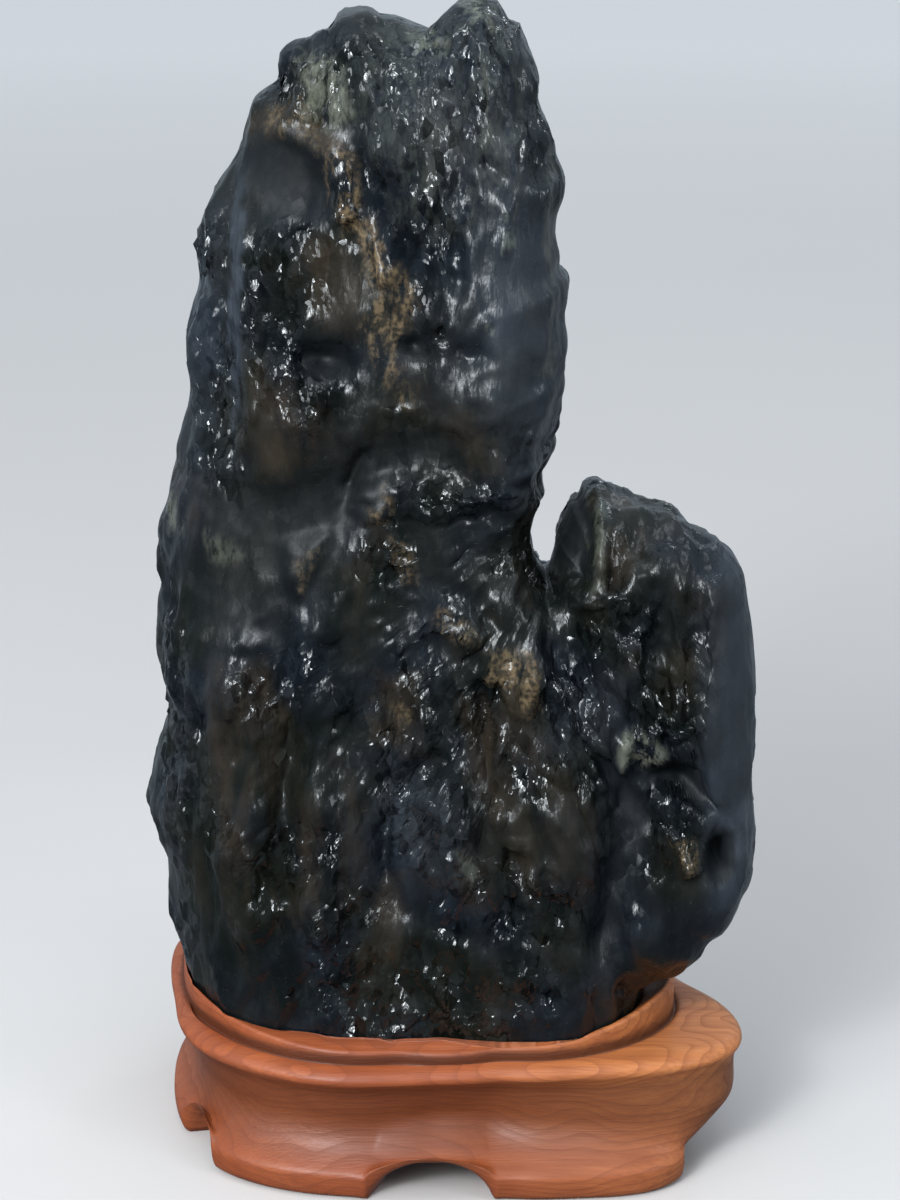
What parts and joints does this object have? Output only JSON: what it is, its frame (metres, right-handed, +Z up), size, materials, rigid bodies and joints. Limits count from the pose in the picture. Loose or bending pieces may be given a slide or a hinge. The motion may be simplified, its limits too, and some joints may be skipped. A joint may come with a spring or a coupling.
{
  "type": "scholar's rock on stand",
  "caption": "Tall weathered black stone with a side lobe and a narrow notch, seated upright in the carved socket of a low footed wooden stand",
  "frame": {"origin": "on the surface the stand rests on, at the centre of the object's bounding box seen from above", "axes": "+Z up, the stone's broad front faces -Y, +X to the right of someone looking at that front"},
  "size_m": [0.2612, 0.169, 0.4905],
  "materials": {
    "rock": "near-black stone with a wet-looking wax polish, brown and ochre stains, small pale glints on its ridges",
    "stand": "orange-brown carved wood with growth rings, satin varnish"
  },
  "bodies": {
    "root": {"rock": "rock", "stand": "stand"}
  },
  "joints": []
}
